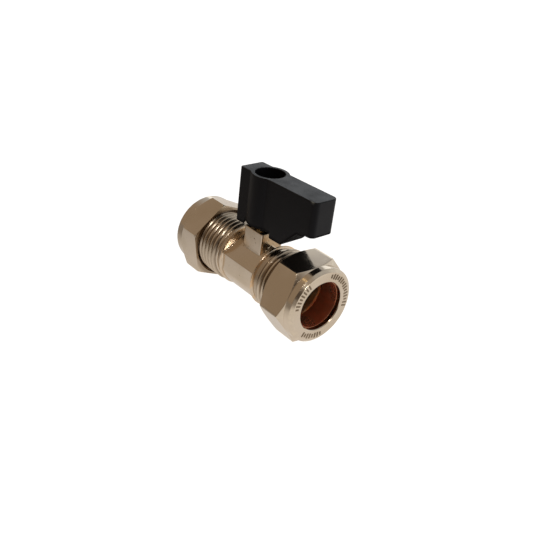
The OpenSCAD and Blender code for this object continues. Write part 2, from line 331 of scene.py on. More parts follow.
def plasticMaterial(name, look):
    # moulded plastic: fine spark texture, faint pale specks, rubbed edges
    mat, t, bsdf, obj = startMaterial(name)
    bsdf.inputs["IOR"].default_value = look["ior"]
    bsdf.inputs["Specular Tint"].default_value = look["sheenTone"]
    tone = useGroup(t, "toneDrift", [("Vector", obj)], Scale=look["driftScale"], Mottle=0.5).outputs[0]
    skin = useGroup(t, "stipple", [("Vector", obj)], Scale=look["skinScale"], Pits=0.2)
    scratch = useGroup(t, "fineScratches", [("Vector", obj)], Amount=look["scratches"]).outputs[0]
    edge = node(t, "ShaderNodeAttribute", attribute_name="edge")
    rubbed = [("Vector", obj), ("Edge", edge.outputs["Fac"])]
    worn = useGroup(t, "edgeWear", rubbed, Amount=look["wear"]).outputs[0]
    nick = node(t, "ShaderNodeAttribute", attribute_name="nick").outputs["Fac"]
    v = node(t, "ShaderNodeTexVoronoi", [("Vector", obj)], Scale=650.0)
    speck = ramp(t, v.outputs["Distance"], 0.04, 0.09, 1.0, 0.0)
    keep = node(t, "ShaderNodeTexNoise", [("Vector", obj)], Scale=300.0, Detail=1.0)
    speck = mathNode(t, "MULTIPLY", speck, ramp(t, keep.outputs["Fac"], 0.55, 0.7, 0.0, look["specks"]))
    col = mixColor(t, tone, look["toneA"], look["toneB"])
    col = mixColor(t, worn, col, look["wornTone"])
    col = mixColor(t, mathNode(t, "MAXIMUM", speck, nick), col, look["speckTone"])
    t.links.new(col, bsdf.inputs["Base Color"])
    r = mathNode(t, "MULTIPLY_ADD", tone, look["roughSpread"], look["rough"])
    r = mathNode(t, "MULTIPLY_ADD", scratch, 0.15, r)
    dull = node(t, "ShaderNodeAttribute", attribute_name="dull").outputs["Fac"]
    t.links.new(mathNode(t, "MULTIPLY_ADD", dull, 0.45, r, clamp=True), bsdf.inputs["Roughness"])
    addBump(t, bsdf, skin.outputs["Height"], look["bump"])
    return mat


# finishes: toneA and toneB drift into each other, wornTone is on rubbed edges (on the forging also painted
# glints and a painted reflection), pitTone in pits and paintedShadeTone is painted shade, laid where the deep
# mask is set; scales are per metre
platedNut = dict(metal=1.0, toneA=(0.79, 0.68, 0.55, 1), toneB=(0.73, 0.62, 0.48, 1),
                 wornTone=(0.90, 0.80, 0.62, 1), pitTone=(0.30, 0.24, 0.17, 1),
                 paintedShadeTone=(0.17, 0.10, 0.05, 1), driftScale=90.0, scratches=0.22,
                 skinScale=2600.0, pits=0.25, wear=0.5,
                 rough=0.12, roughSpread=0.05, skinHeight=0.05, bump=0.14)
# the forging wears to orange: on the collar edges this is rubbed wear tinted as a painted glint, on the inner
# cone strip a painted reflection
platedForging = dict(platedNut, wornTone=(0.95, 0.56, 0.22, 1), paintedShadeTone=(0.13, 0.075, 0.035, 1),
                     skinScale=3000.0, pits=0.45, rough=0.17, roughSpread=0.06, skinHeight=0.16, bump=0.22)
forgedBoss = dict(platedForging, pitTone=(0.14, 0.10, 0.06, 1), skinScale=2600.0, pits=1.5,
                  skinHeight=0.5, bump=0.6)
stampedMark = dict(platedNut, toneA=(0.34, 0.26, 0.18, 1), toneB=(0.24, 0.18, 0.12, 1), rough=0.3, bump=0.6)
bareBrass = dict(metal=1.0, toneA=(0.80, 0.62, 0.34, 1), toneB=(0.68, 0.50, 0.26, 1),
                 wornTone=(0.9, 0.75, 0.45, 1), pitTone=(0.25, 0.17, 0.08, 1), paintedShadeTone=(0.2, 0.12, 0.05, 1),
                 driftScale=150.0, scratches=0.5, skinScale=2500.0, pits=0.3, wear=0.3,
                 rough=0.25, roughSpread=0.1, skinHeight=0.2, bump=0.4)
drawnCopper = dict(metal=0.85, toneA=(1.0, 0.44, 0.25, 1), toneB=(0.94, 0.32, 0.16, 1),
                   wornTone=(0.95, 0.55, 0.35, 1), pitTone=(0.25, 0.08, 0.04, 1),
                   paintedShadeTone=(0.2, 0.06, 0.03, 1), driftScale=160.0, scratches=0.8,
                   skinScale=1800.0, pits=0.3, wear=0.4,
                   rough=0.24, roughSpread=0.12, skinHeight=0.2, bump=0.5)
chromeBall = dict(metal=1.0, toneA=(0.82, 0.82, 0.82, 1), toneB=(0.74, 0.74, 0.75, 1),
                  wornTone=(0.9, 0.9, 0.9, 1), pitTone=(0.4, 0.4, 0.4, 1), paintedShadeTone=(0.4, 0.4, 0.4, 1),
                  driftScale=120.0, scratches=0.3, skinScale=2600.0, pits=0.1, wear=0.2,
                  rough=0.08, roughSpread=0.05, skinHeight=0.05, bump=0.2)
zincSteel = dict(metal=1.0, toneA=(0.66, 0.66, 0.64, 1), toneB=(0.52, 0.52, 0.50, 1),
                 wornTone=(0.8, 0.8, 0.8, 1), pitTone=(0.3, 0.28, 0.25, 1), paintedShadeTone=(0.3, 0.28, 0.25, 1),
                 driftScale=300.0, scratches=0.6, skinScale=3500.0, pits=0.4, wear=0.4,
                 rough=0.3, roughSpread=0.12, skinHeight=0.25, bump=0.5)
blackHandle = dict(toneA=(0.0036, 0.0036, 0.0050, 1), toneB=(0.0052, 0.0052, 0.0072, 1),
                   wornTone=(0.02, 0.02, 0.02, 1), speckTone=(0.20, 0.21, 0.20, 1),
                   driftScale=130.0, scratches=0.5, skinScale=5200.0, specks=0.5, wear=0.5,
                   rough=0.36, roughSpread=0.1, bump=0.25, ior=1.32, sheenTone=(0.90, 0.93, 1.0, 1))
whiteSeat = dict(blackHandle, toneA=(0.82, 0.82, 0.79, 1), toneB=(0.76, 0.76, 0.73, 1),
                 wornTone=(0.9, 0.9, 0.88, 1), speckTone=(0.6, 0.6, 0.58, 1), rough=0.4)
sealRubber = dict(blackHandle, toneA=(0.012, 0.012, 0.012, 1), toneB=(0.02, 0.02, 0.02, 1), rough=0.6)

nutPlate = metalMaterial("nutPlate", platedNut)
markPlate = metalMaterial("markPlate", stampedMark)
bodyPlate = metalMaterial("bodyPlate", platedForging)
bossPlate = metalMaterial("bossPlate", forgedBoss)
machinedBrass = metalMaterial("machinedBrass", bareBrass)
copper = metalMaterial("oliveCopper", drawnCopper)
ballChrome = metalMaterial("ballChrome", chromeBall)
screwSteel = metalMaterial("screwSteel", zincSteel)
handleBlack = plasticMaterial("handleBlack", blackHandle)
seatWhite = plasticMaterial("seatWhite", whiteSeat)
ringRubber = plasticMaterial("ringRubber", sealRubber)
print("materials built")

# body: barrel, flats, collars and threaded ends

# tarnish sets how strong the painted shade is in the thread roots and relief groove; coneGlintFrom is where
# the painted reflection on the inner cone starts
bodyShape = dict(half=21.4, barrelR=9.5, flatDist=7.25, flatLean=57.0, sideDist=9.05,
                 collarR=10.1, collarOut=8.5, flareRun=0.65, flareSlope=5.5, grooveR=9.4,
                 threadX=10.1, threadR=10.45, threadDepth=1.05, crest=0.62, pitch=1.814, leadRun=0.7,
                 threadRootShade=0.85, socketR=7.55, stopX=8.6, coneX=17.4, coneR=9.0, coneGlintFrom=1.7,
                 boreR=4.0, chamberR=6.4, shoulderX=5.52, threadStep=0.165)


def flatRadius(phi, s):
    # round underside cut by two leaning flats and two upright ones: the least of the round radius
    # and the distance to each flat's plane along phi
    r = np.full_like(phi, s["barrelR"])
    lean = s["flatLean"]
    for face, dist in ((0, "sideDist"), (180, "sideDist"), (lean, "flatDist"), (180 - lean, "flatDist")):
        c = np.cos(phi - math.radians(face))
        r = smoothMin(r, np.where(c > 0.3, s[dist] / np.maximum(c, 0.3), 99.0), 0.1)
    return r


def bodyRadius(x, phi, s):
    # outside of the body: flats and barrel in the middle, a flare up to each collar, a relief
    # groove, then a right-hand helix whose height is a power of a cosine wave in x and phi
    ax = np.abs(x)
    flare = s["collarR"] - (s["collarOut"] - s["flareRun"] - ax) * s["flareSlope"]
    r = smoothMax(flatRadius(phi, s), np.minimum(flare, s["collarR"]), 0.45)
    phase = np.mod(x / s["pitch"] + phi / (2 * np.pi), 1.0)
    wave = (0.5 - 0.5 * np.cos(2 * np.pi * phase)) ** s["crest"]
    grooveEnd = s["threadX"] - 0.25
    runOut = np.clip((ax - grooveEnd) / 0.9, 0, 1)
    lead = np.clip((s["half"] - ax) / s["leadRun"], 0, 1)
    thread = s["threadR"] - s["threadDepth"] + s["threadDepth"] * wave * lead * (0.25 + 0.75 * runOut)
    groove = np.full_like(x, s["grooveR"])
    edgeIn = smoothMin(np.full_like(x, s["collarR"]), s["grooveR"] + (s["collarOut"] - ax) * 2.2, 0.25)
    mid = smoothMin(r, np.maximum(edgeIn, s["grooveR"]), 0.05)
    # valley is painted shade: full in the thread roots, 0.3 in the relief groove, none on the flats and
    # collars
    valley = np.where(ax < grooveEnd, 0.3, (1 - wave) ** 1.1) * (ax > s["collarOut"])
    return np.where(ax < s["collarOut"] + 0.05, mid, np.where(ax < grooveEnd, groove, thread)), valley


def makeBody():
    # one closed tube: rows along the pipe, closer at the flare and the thread, then back inside
    # through cone, socket, stop and chamber; columns round the pipe, closer where the flats meet
    s = bodyShape
    half = s["half"]
    side = np.concatenate([np.arange(0, 5.6, 0.45), np.arange(5.6, 7.0, 0.2), np.arange(7.0, 10.0, 0.1),
                           np.arange(10.0, half, s["threadStep"]), [half - 0.001]])
    outerX = np.concatenate([-side[:0:-1], side])
    lean = math.radians(s["flatLean"])
    meet = math.degrees(math.atan2(s["flatDist"] / s["sideDist"] - math.cos(lean), math.sin(lean)))
    low = math.degrees(math.acos(s["sideDist"] / s["barrelR"]))
    ridge = [meet, 90.0, 180 - meet, 180 + low, 360 - low]
    beside = np.array([-2.2, -1.5, -1.0, -0.6, -0.3, 0, 0.3, 0.6, 1.0, 1.5, 2.2])
    close = np.concatenate([beside + a for a in ridge])
    even = np.linspace(0, 360, 240, endpoint=False)
    even = even[np.min(np.abs(even[:, None] - np.array(ridge)), axis=1) > 2.5]
    phi = np.radians(np.sort(np.concatenate([even, close])))
    gridX, gridPhi = np.meshgrid(outerX, phi, indexing="ij")
    outerR, valley = bodyRadius(gridX, gridPhi, s)
    outer = aboutPipe(gridX, outerR, gridPhi)
    inner = roundedPath([[half, s["coneR"]], [s["coneX"], s["socketR"]], [s["stopX"], s["socketR"]],
                         [s["stopX"], s["boreR"]], [s["shoulderX"], s["boreR"]],
                         [s["shoulderX"], s["chamberR"]],
                         [-s["stopX"], s["chamberR"]], [-s["stopX"], s["socketR"]],
                         [-s["coneX"], s["socketR"]],
                         [-half, s["coneR"]]], [0, 0.3, 0.1, 0.15, 0.1, 0, 0, 0.1, 0.3, 0], 3)
    inner = refine(inner, 0.75, close=False)
    innerX, innerPhi = np.meshgrid(inner[:, 0], phi, indexing="ij")
    innerR = np.repeat(inner[:, 1:2], len(phi), 1)
    pts = np.concatenate([outer, aboutPipe(innerX, innerR, innerPhi)])
    # inside, the bore is painted shade (deep 0.92) except the cone strip near each mouth, which takes a
    # doubled edge mask that paints an orange reflection there; outside, the edge mask marks the rubbed collar
    # edges
    coneGlint = np.abs(innerX) > s["coneX"] + s["coneGlintFrom"]
    edge = np.concatenate([np.exp(-((np.abs(gridX) - 8.2) / 0.35) ** 2), coneGlint * 2.0])
    paintedShade = np.concatenate([valley * s["threadRootShade"], np.where(coneGlint, 0.0, 0.92)])
    faces = gridFaces(pts.shape[0], pts.shape[1], True, True)
    return makePiece("bodyShell", pts, faces, "valve", bodyPlate, ("valve_body",), 40,
                     {"edge": edge, "paintedShade": paintedShade})


makeBody()

bossShape = dict(half=4.3, square=20.0, top=13.1, fillet=0.35, edge=0.25, holeR=2.78, sink=1.1,
                 pocketR=3.4, pocketTop=7.65, pocketLow=6.9)


def makeBoss():
    # square stem boss: a rounded square carried up from the barrel, its foot spread out in a
    # quarter-circle fillet that ends on the barrel and flats, then down inside through the stem's
    # bore to a wider pocket; the plan is half / (|cos|^n + |sin|^n)^(1/n) with n = square
    b, s = bossShape, bodyShape
    a = np.linspace(0, 2 * np.pi, 240, endpoint=False)
    a = a - 0.11 * np.sin(4 * a)
    power = b["square"]
    base = b["half"] / (np.abs(np.cos(a)) ** power + np.abs(np.sin(a)) ** power) ** (1 / power)
    rows = []
    edges = []

    def ground(x, y):
        barrel = np.sqrt(np.maximum(s["barrelR"] ** 2 - y * y, 0.01))
        lean = math.radians(s["flatLean"])
        flat = (s["flatDist"] - np.abs(y) * math.cos(lean)) / math.sin(lean)
        return smoothMin(barrel, flat, 0.16)

    def ring(r, z, e=0.0):
        rows.append(np.stack([r * np.cos(a), r * np.sin(a), z * np.ones_like(a)], 1))
        edges.append(np.full_like(a, e))

    wide = base + b["fillet"]
    ring(wide, ground(wide * np.cos(a), wide * np.sin(a)) - b["sink"])
    for w in np.linspace(0, 1, 7):
        ang = w * math.pi / 2
        r = base + b["fillet"] * (1 - math.sin(ang))
        foot = ground(r * np.cos(a), r * np.sin(a))
        ring(r, foot + b["fillet"] * (1 - math.cos(ang)) + 0.004)
    foot = ground(base * np.cos(a), base * np.sin(a)) + b["fillet"]
    for w in (0.02, 0.25, 0.5, 0.75, 0.98):
        ring(base, foot + (b["top"] - b["edge"] - foot) * w)
    for w in np.linspace(0, 1, 5):
        ang = w * math.pi / 2
        ring(base - b["edge"] * (1 - math.cos(ang)), b["top"] - b["edge"] * (1 - math.sin(ang)), 0.8)
    for w in (0.04, 0.5, 0.96):
        ring((base - b["edge"]) * (1 - w) + (b["holeR"] + 0.3) * w, b["top"])
    ring(b["holeR"] + 0.3, b["top"])
    ring(b["holeR"], b["top"] - 0.3)
    ring(b["holeR"], b["pocketTop"])
    ring(b["pocketR"], b["pocketTop"])     # room for the stem's flange and the thrust washer
    ring(b["pocketR"], b["pocketLow"])
    pts = np.stack(rows)
    faces = gridFaces(pts.shape[0], pts.shape[1], True, True)
    return makePiece("bodyBoss", pts, faces, "valve", bossPlate, (), 40,
                     {"edge": np.stack(edges)})


makeBoss()


def ringBlock(name, inner, outer, start, span, low, high, turn, body, material):
    # block bent round the stem: a rounded rectangle of radius and height carried through an angle
    sec = refine(roundedPath([[inner, low], [outer, low], [outer, high], [inner, high]], [0.12] * 4, 3), 1.0)
    ang = np.radians(np.linspace(start, start + span, 60) + turn)
    gridA, gridR = np.meshgrid(ang, sec[:, 0], indexing="ij")
    gridZ = np.repeat(sec[None, :, 1], len(ang), 0)
    pts = np.stack([gridR * np.cos(gridA), gridR * np.sin(gridA), gridZ], -1)
    n = len(sec)
    mid = pts[[0, -1]].mean(1)
    flat = np.concatenate([pts.reshape(-1, 3), mid])
    faces = gridFaces(len(ang), n, False, True)
    j = np.arange(n)
    total = len(ang) * n
    capA = np.stack([np.full(n, total), j, (j + 1) % n], 1)
    last = (len(ang) - 1) * n
    capB = np.stack([np.full(n, total + 1), last + (j + 1) % n, last + j], 1)
    return makeCapped(name, flat, faces, np.concatenate([capA, capB]), body, material)


def makeCapped(name, points, quads, tris, body, material, sharp=40):
    # a closed mesh of quads whose two ends are fans of triangles
    me = bpy.data.meshes.new(name)
    pts = (points + [stemX, 0, 0]) * mm
    me.from_pydata(pts.tolist(), [], quads.tolist() + tris.tolist())
    bm = bmesh.new()
    bm.from_mesh(me)
    bmesh.ops.remove_doubles(bm, verts=bm.verts, dist=weldDist)
    bmesh.ops.recalc_face_normals(bm, faces=bm.faces)
    bm.to_mesh(me)
    bm.free()
    return finishPiece(name, me, body, material, (), sharp)


stopShape = dict(inner=3.1, outer=4.2, lugStart=63.3, lugSpan=148.0, lugLow=12.6, lugHigh=14.5,
                 toothStart=-60.0, toothSpan=120.0, toothLow=13.45, toothHigh=15.2, skew=2.3)
stop = stopShape
ringBlock("stopLug", stop["inner"], stop["outer"], stop["lugStart"], stop["lugSpan"],
          stop["lugLow"], stop["lugHigh"], 0, "valve", bodyPlate)
ringBlock("stopTooth", stop["inner"], stop["outer"], stop["toothStart"], stop["toothSpan"],
          stop["toothLow"], stop["toothHigh"], stop["skew"], "spindle", handleBlack)

# compression nuts

nutShape = dict(length=12.6, faceDrop=0.13, flatR=12.0, noseR=12.0, faceR=10.9, mouth=0.75,
                boreR=10.6, lipR=7.75, seatR=9.45)


def nutPoints(turn, startX, cornerX, noseX):
    # the section path runs up the inner end, along the hexagon's envelope, over the nose and face,
    # and back through the bore; outside, the radius is the lesser of that path and the hexagon
    # a / cos(phi to the nearest flat), with a small blend that rounds every edge
    n = nutShape
    nose = n["noseR"]
    ln = n["length"] - n["faceDrop"]
    corner = n["flatR"] / math.cos(math.pi / 6) + 0.05
    path = [[0, n["boreR"] + n["mouth"]], [0, n["flatR"] - 0.3], [0, corner - 1.4 * startX],
            [startX, corner], [cornerX, corner], [noseX, nose + 0.08], [noseX + 0.09, nose - 0.12],
            [noseX + 0.22, nose], [ln - 0.68, nose - 0.16], [ln - 0.1, n["faceR"] + 0.12], [ln, n["faceR"]],
            [ln, n["lipR"] + 0.22], [ln - 0.22, n["lipR"]], [ln - 1.3, n["lipR"]], [ln - 3.0, n["seatR"]],
            [ln - 4.3, n["seatR"]], [ln - 4.3, n["boreR"]], [n["mouth"], n["boreR"]]]
    radii = [0.1, 0, 0.25, 0.3, 0.3, 0.1, 0.05, 0.08, 0.2, 0.06, 0.08, 0.15, 0.12, 0.2, 0.2, 0.1, 0.1, 0.1]
    p = refine(roundedPath(path, radii, 4), 0.24)
    outside = (p[:, 1] > n["boreR"] + 0.2) & (p[:, 0] < noseX + 0.02)
    keep = outside | (p[:, 0] > noseX - 0.5) | (np.arange(len(p)) % 3 == 0)
    p, outside = p[keep], outside[keep]
    u = np.linspace(-1, 1, 49)[:-1]
    sector = np.sign(u) * (1 - (1 - np.abs(u)) ** 1.7) * 30.0
    local = np.concatenate([sector + 60 * k for k in range(6)])
    hexR = np.tile(n["flatR"] / np.cos(np.radians(sector)), 6)
    nearCorner = 30 - np.abs(np.tile(sector, 6))
    hexR = hexR - 0.035 * np.exp(-nearCorner ** 2)
    phi = np.radians(local + turn + 30)
    gridR = np.repeat(p[:, 1:2], len(phi), 1)
    gridHex = np.repeat(hexR[None], len(p), 0)
    cut = smoothMin(gridR, gridHex, 0.13)
    gridR = np.where(outside[:, None], cut, gridR)
    gridX = np.repeat(p[:, :1], len(phi), 1)
    gridPhi = np.repeat(phi[None], len(p), 0)
    edge = np.exp(-(nearCorner / 1.6) ** 2)[None] * outside[:, None]
    edge = np.maximum(edge, np.exp(-((gridX - ln + 0.3) / 0.4) ** 2) * (gridR > 10.2) * 0.7)
    # the deep mask paints shade: 0.6 inside the mouth, 1 in the bore over the thread, up to 0.55 on the inner
    # end
    paintedShade = 0.6 * np.clip((n["seatR"] + 0.3 - gridR) / 0.3, 0, 1) * (gridX < ln - 0.3)
    paintedShade = paintedShade + (gridR < n["boreR"] + 0.7) * (gridX < 8.5)
    paintedShade = paintedShade + 0.55 * np.clip((13.2 - gridR) / 1.2, 0, 1) * (gridX < 0.02)
    return gridX, gridR, gridPhi, edge, np.clip(paintedShade, 0, 1)


def makeNut(name, place, direction, body, replaced):
    where = place["turn"], place["startX"], place["cornerX"], place["noseX"]
    gridX, gridR, gridPhi, edge, paintedShade = nutPoints(*where)
    pts = aboutPipe((gridX + place["at"]) * direction, gridR, gridPhi)
    faces = gridFaces(pts.shape[0], pts.shape[1], True, True)
    return makePiece(name, pts, faces, body, nutPlate, (replaced,), 40,
                     {"edge": edge, "paintedShade": paintedShade})


nutPlaces = dict(front=dict(at=16.15, turn=-6.0, startX=1.4, cornerX=8.65, noseX=9.75),
                 rear=dict(at=18.3, turn=21.0, startX=0.35, cornerX=6.6, noseX=8.75))
makeNut("nutFrontShell", nutPlaces["front"], 1, "nut_front", "nut_front")
makeNut("nutRearShell", nutPlaces["rear"], -1, "nut_rear", "nut_rear")

# plain tally marks stamped round each nut's face

markShape = dict(inner=8.75, outer=10.55, width=0.58, height=0.14, step=6.3, shortShare=0.72,
                 groupsAt=(10.0, 105.0, 262.0), perGroup=(8, 15, 8))


def makeMarks(name, faceX, direction, turn, body):
    # each mark is a low cushion over a bar from inner to outer radius: height times (1 - u^8)
    # across it and (1 - v^12) along it; every third one is shorter
    m = markShape
    u = np.linspace(-1, 1, 9)
    v = np.linspace(-1, 1, 13)
    gridU, gridV = np.meshgrid(u, v, indexing="ij")
    lift = m["height"] * (1 - gridU ** 8) * (1 - gridV ** 12)
    allPts, allFaces, count = [], [], 0
    quads = gridFaces(len(u), len(v), False, False)
    size = gridU.size
    for start, number in zip(m["groupsAt"], m["perGroup"]):
        for k in range(number):
            tall = 1.0 if k % 3 else m["shortShare"]
            cut = (m["outer"] - m["inner"]) * (1 - tall) / 2
            r0 = m["inner"] + cut
            r1 = m["outer"] - cut
            gridR = r0 + (r1 - r0) * (gridV + 1) / 2
            ang = math.radians(start + turn + k * m["step"]) + gridU * m["width"] / 2 / gridR
            top = aboutPipe((faceX + lift - 0.02) * direction, gridR, ang)
            back = aboutPipe(np.full_like(gridR, (faceX - 0.12)) * direction, gridR, ang)
            allPts += [top.reshape(-1, 3), back.reshape(-1, 3)]
            allFaces += [quads + count, quads[:, ::-1] + count + size]
            border = np.concatenate([np.arange(len(v)), np.arange(1, len(u)) * len(v) + len(v) - 1,
                                     (len(u) - 1) * len(v) + np.arange(len(v) - 2, -1, -1),
                                     np.arange(len(u) - 2, 0, -1) * len(v)])
            nxt = np.roll(border, -1)
            allFaces.append(np.stack([border, nxt, nxt + size, border + size], 1) + count)
            count += 2 * size
    pts, faces = np.concatenate(allPts), np.concatenate(allFaces)
    return makePiece(name, pts, faces, body, markPlate, (), 60)


faceIn = nutShape["length"] - nutShape["faceDrop"]
makeMarks("nutFrontMarks", nutPlaces["front"]["at"] + faceIn, 1, 0.0, "nut_front")
makeMarks("nutRearMarks", nutPlaces["rear"]["at"] + faceIn, -1, 40.0, "nut_rear")

# olives

oliveShape = dict(length=7.0, innerR=7.58, wall=1.27, frontX=20.1, rearX=20.65)


def makeOlive(name, origin, direction, body, replaced):
    # barrel-shaped ring: a rounded section turned round the pipe
    o = oliveShape
    out = o["innerR"] + o["wall"]
    sec = roundedPath([[0, o["innerR"]], [0, out - 0.8], [2.3, out], [o["length"] - 1.7, out],
                       [o["length"], out - 1.1], [o["length"], o["innerR"]]],
                      [0.12, 0.1, 0.8, 0.8, 0.07, 0.07], 5)
    sec = refine(sec, 0.7)
    phi = np.linspace(0, 2 * np.pi, 192, endpoint=False)
    gridX = np.repeat(sec[:, :1], len(phi), 1)
    gridR = np.repeat(sec[:, 1:], len(phi), 1)
    gridPhi = np.repeat(phi[None], len(sec), 0)
    pts = aboutPipe((gridX + origin) * direction, gridR, gridPhi)
    edge = (np.minimum(gridX, o["length"] - gridX) < 0.15) * 1.0
    faces = gridFaces(pts.shape[0], pts.shape[1], True, True)
    return makePiece(name, pts, faces, body, copper, (replaced,), 40, {"edge": edge})


makeOlive("oliveFrontRing", oliveShape["frontX"], 1, "olive_front", "olive_front")
makeOlive("oliveRearRing", oliveShape["rearX"], -1, "olive_rear", "olive_rear")

# handle

handleShape = dict(hubR=5.9, halfW=4.45, tip=23.8, back=8.75, corner=1.8, backCorner=0.9,
                   junction=0.9, backJunction=0.5, top=30.8, hubZ=14.8, legZ=13.35, webZ=19.0, wellR=4.6,
                   clearR=6.38, legIn=6.93, legOut=12.33, landX=17.8, landZ=19.35, stepX=20.9, tipZ=20.1,
                   topEdge=0.28, lowEdge=0.22, stemR=2.75, stemFlat=2.1, skew=2.3, nickR=0.9)


def handleOutline(h):
    # plan of the handle: lever sides, tip, hub arcs and blunt back, every corner an arc
    join = math.degrees(math.asin(h["halfW"] / h["hubR"]))
    arc = np.radians(np.linspace(join, 180 - join, 17))     # hub side, bowed out of the lever
    hub = h["hubR"] * np.stack([np.cos(arc), np.sin(arc)], 1)
    pts = np.concatenate([[[h["tip"], h["halfW"]]], hub,
                          [[-h["back"], h["halfW"]], [-h["back"], -h["halfW"]]],
                          -hub, [[h["tip"], -h["halfW"]]]])
    radii = [h["corner"], h["junction"]] + [0] * 15 + [h["backJunction"]] + [h["backCorner"]] * 2 \
        + [h["backJunction"]] + [0] * 15 + [h["junction"], h["corner"]]
    return roundedPath(pts, radii, 8)


def handleUnder(h):
    # underside along the lever as x, z, from the tip inwards
    pts = [[h["tip"] + 1, h["tipZ"]], [h["stepX"], h["tipZ"]], [h["stepX"] - 0.5, h["landZ"] + 0.2],
           [h["landX"], h["landZ"]], [h["legOut"], h["legZ"] + 0.3], [h["legOut"] - 0.5, h["legZ"]],
           [h["legIn"] + 0.06, h["legZ"]], [h["legIn"], h["hubZ"]], [0.0, h["hubZ"]]]
    p = roundedPath(pts, [0, 0.3, 0.2, 0.35, 0.3, 0.3, 0.2, 0.1, 0], 4)
    return refine(p, 1.4, close=False)


def makeHandle():
    # every section from the stem axis out through a point of the plan is one closed path: top
    # face, rounded edge, side, rounded lower edge, stepped underside, stem hole, web and well wall
    h = handleShape
    under = handleUnder(h)
    line = refine(handleOutline(h), 0.8)
    marks = under[(under[:, 0] < h["tip"] - h["corner"]) & (under[:, 0] > 4.6), 0]
    rim = math.sqrt(h["clearR"] ** 2 - h["halfW"] ** 2)
    addX = np.concatenate([marks, [-rim, -rim - 0.05]])
    extra = np.concatenate([np.stack([addX, np.full_like(addX, s * h["halfW"])], 1) for s in (1, -1)])
    allPts = np.concatenate([line, extra])
    ang = np.arctan2(allPts[:, 1], allPts[:, 0])
    plan = allPts[np.argsort(ang)]
    gap = np.linalg.norm(plan - np.roll(plan, 1, 0), axis=1)
    plan = plan[gap > 0.012]
    tangent = np.roll(plan, -1, 0) - np.roll(plan, 1, 0)
    outward = np.stack([tangent[:, 1], -tangent[:, 0]], 1)
    outward /= np.linalg.norm(outward, axis=1)[:, None]
    dirs = plan / np.linalg.norm(plan, axis=1)[:, None]
    front = plan[:, 0] > 0
    underX, underZ = under[::-1, 0], under[::-1, 1]
    far = 99.0      # past every point of the handle

    def lowAt(q):
        r = np.linalg.norm(q, axis=1)
        zf = np.interp(np.maximum(q[:, 0], 0), underX, underZ)
        zb = np.interp(r, [0, h["clearR"], h["clearR"] + 0.05, far],
                       [h["hubZ"], h["hubZ"], h["legZ"], h["legZ"]])
        return np.where(q[:, 0] > 0, zf, zb)

    rows, edges = [], []

    def ring(xy, z, e=0.0):
        rows.append(np.concatenate([xy, (z * np.ones(len(xy)))[:, None]], 1))
        edges.append(np.full(len(xy), e))

    lip = 0.2
    well = dirs * (h["wellR"] + lip)
    inTop = plan - outward * h["topEdge"]
    for w in (0, 0.01, 0.1, 0.25, 0.5, 0.75, 0.9, 0.985):
        ring(well * (1 - w) + inTop * w, h["top"])
    for w in np.linspace(0, 1, 6):
        a = w * math.pi / 2
        ring(plan - outward * h["topEdge"] * (1 - math.sin(a)),
             h["top"] - h["topEdge"] * (1 - math.cos(a)), 1.0)
    low = lowAt(plan)
    hi = h["top"] - h["topEdge"]
    lo = low + h["lowEdge"]
    for w in (0.006, 0.06, 0.2, 0.4, 0.6, 0.8, 0.94, 0.994):
        ring(plan, hi + (lo - hi) * w)
    dullFrom = len(rows) - 1
    inLow = plan - outward * h["lowEdge"]
    for w in np.linspace(0, 1, 5):
        a = w * math.pi / 2
        ring(plan - outward * h["lowEdge"] * (1 - math.cos(a)), low + h["lowEdge"] * (1 - math.sin(a)), 0.6)
    backR = np.concatenate([[far], np.linspace(8.5, h["clearR"] + 0.06, 5), [h["clearR"] + 0.05, h["clearR"]],
                            np.linspace(h["clearR"] - 0.05, 0, len(under) - 8)])
    reach = np.linalg.norm(inLow, axis=1)
    for k in range(len(under)):
        share = np.where(front, np.minimum(1, under[k, 0] / np.maximum(inLow[:, 0], 1e-6)),
                         np.minimum(1, backR[k] / reach))
        share = np.maximum(share, (h["stemR"] + 0.3) / reach)
        q = inLow * share[:, None]
        ring(q, np.where(share >= 1 - 1e-9, low, lowAt(q)))
    dullTo = len(rows) - 2
    a = np.arctan2(dirs[:, 1], dirs[:, 0])
    hole = np.minimum(h["stemR"], h["stemFlat"] / np.maximum(np.abs(np.sin(a)), 1e-3))
    ring(dirs * hole[:, None], h["hubZ"] + 0.1)
    ring(dirs * hole[:, None], h["webZ"])
    ring(dirs * (h["wellR"] - 0.3), h["webZ"])
    ring(dirs * (h["wellR"] - 0.1), h["webZ"] + 0.06)
    ring(dirs * h["wellR"], h["webZ"] + 0.3)
    for z in (20.5, 23.0, 26.0, 29.0, 30.5):
        ring(dirs * h["wellR"], z)
    ring(dirs * h["wellR"], h["top"] - lip, 0.8)
    ring(dirs * (h["wellR"] + lip * 0.29), h["top"] - lip * 0.29, 0.8)
    pts = np.stack(rows)
    edge = np.stack(edges)
    dull = np.zeros_like(edge)
    dull[dullFrom:dullTo] = 1
    # a small worn dent in the top edge near the tip
    spot = np.array([h["tip"] - 1.55, -h["halfW"] + 0.25, h["top"]])
    near = np.linalg.norm((pts - spot) / [1.0, 0.55, 0.8], axis=2)
    dent = np.clip(1 - near / h["nickR"], 0, 1)
    pts[..., 2] -= 0.16 * dent
    pts[..., 1] += 0.10 * dent
    skew = math.radians(h["skew"])
    c, sn = math.cos(skew), math.sin(skew)
    x, y = pts[..., 0], pts[..., 1]
    turned = np.stack([x * c - y * sn, x * sn + y * c, pts[..., 2]], -1)
    faces = gridFaces(pts.shape[0], pts.shape[1], True, True)
    return makePiece("handleShell", turned, faces, "spindle", handleBlack, ("handle",), 32,
                     {"edge": edge, "dull": dull, "nick": np.clip(dent * 1.6 - 0.3, 0, 1)})


makeHandle()

# handle screw

screwShape = dict(headR=2.8, headLow=19.5, headTop=21.7, shankR=1.45, shankLow=13.1,
                  slotW=0.72, slotL=3.4, slotDepth=1.2, slotTurn=22.3)


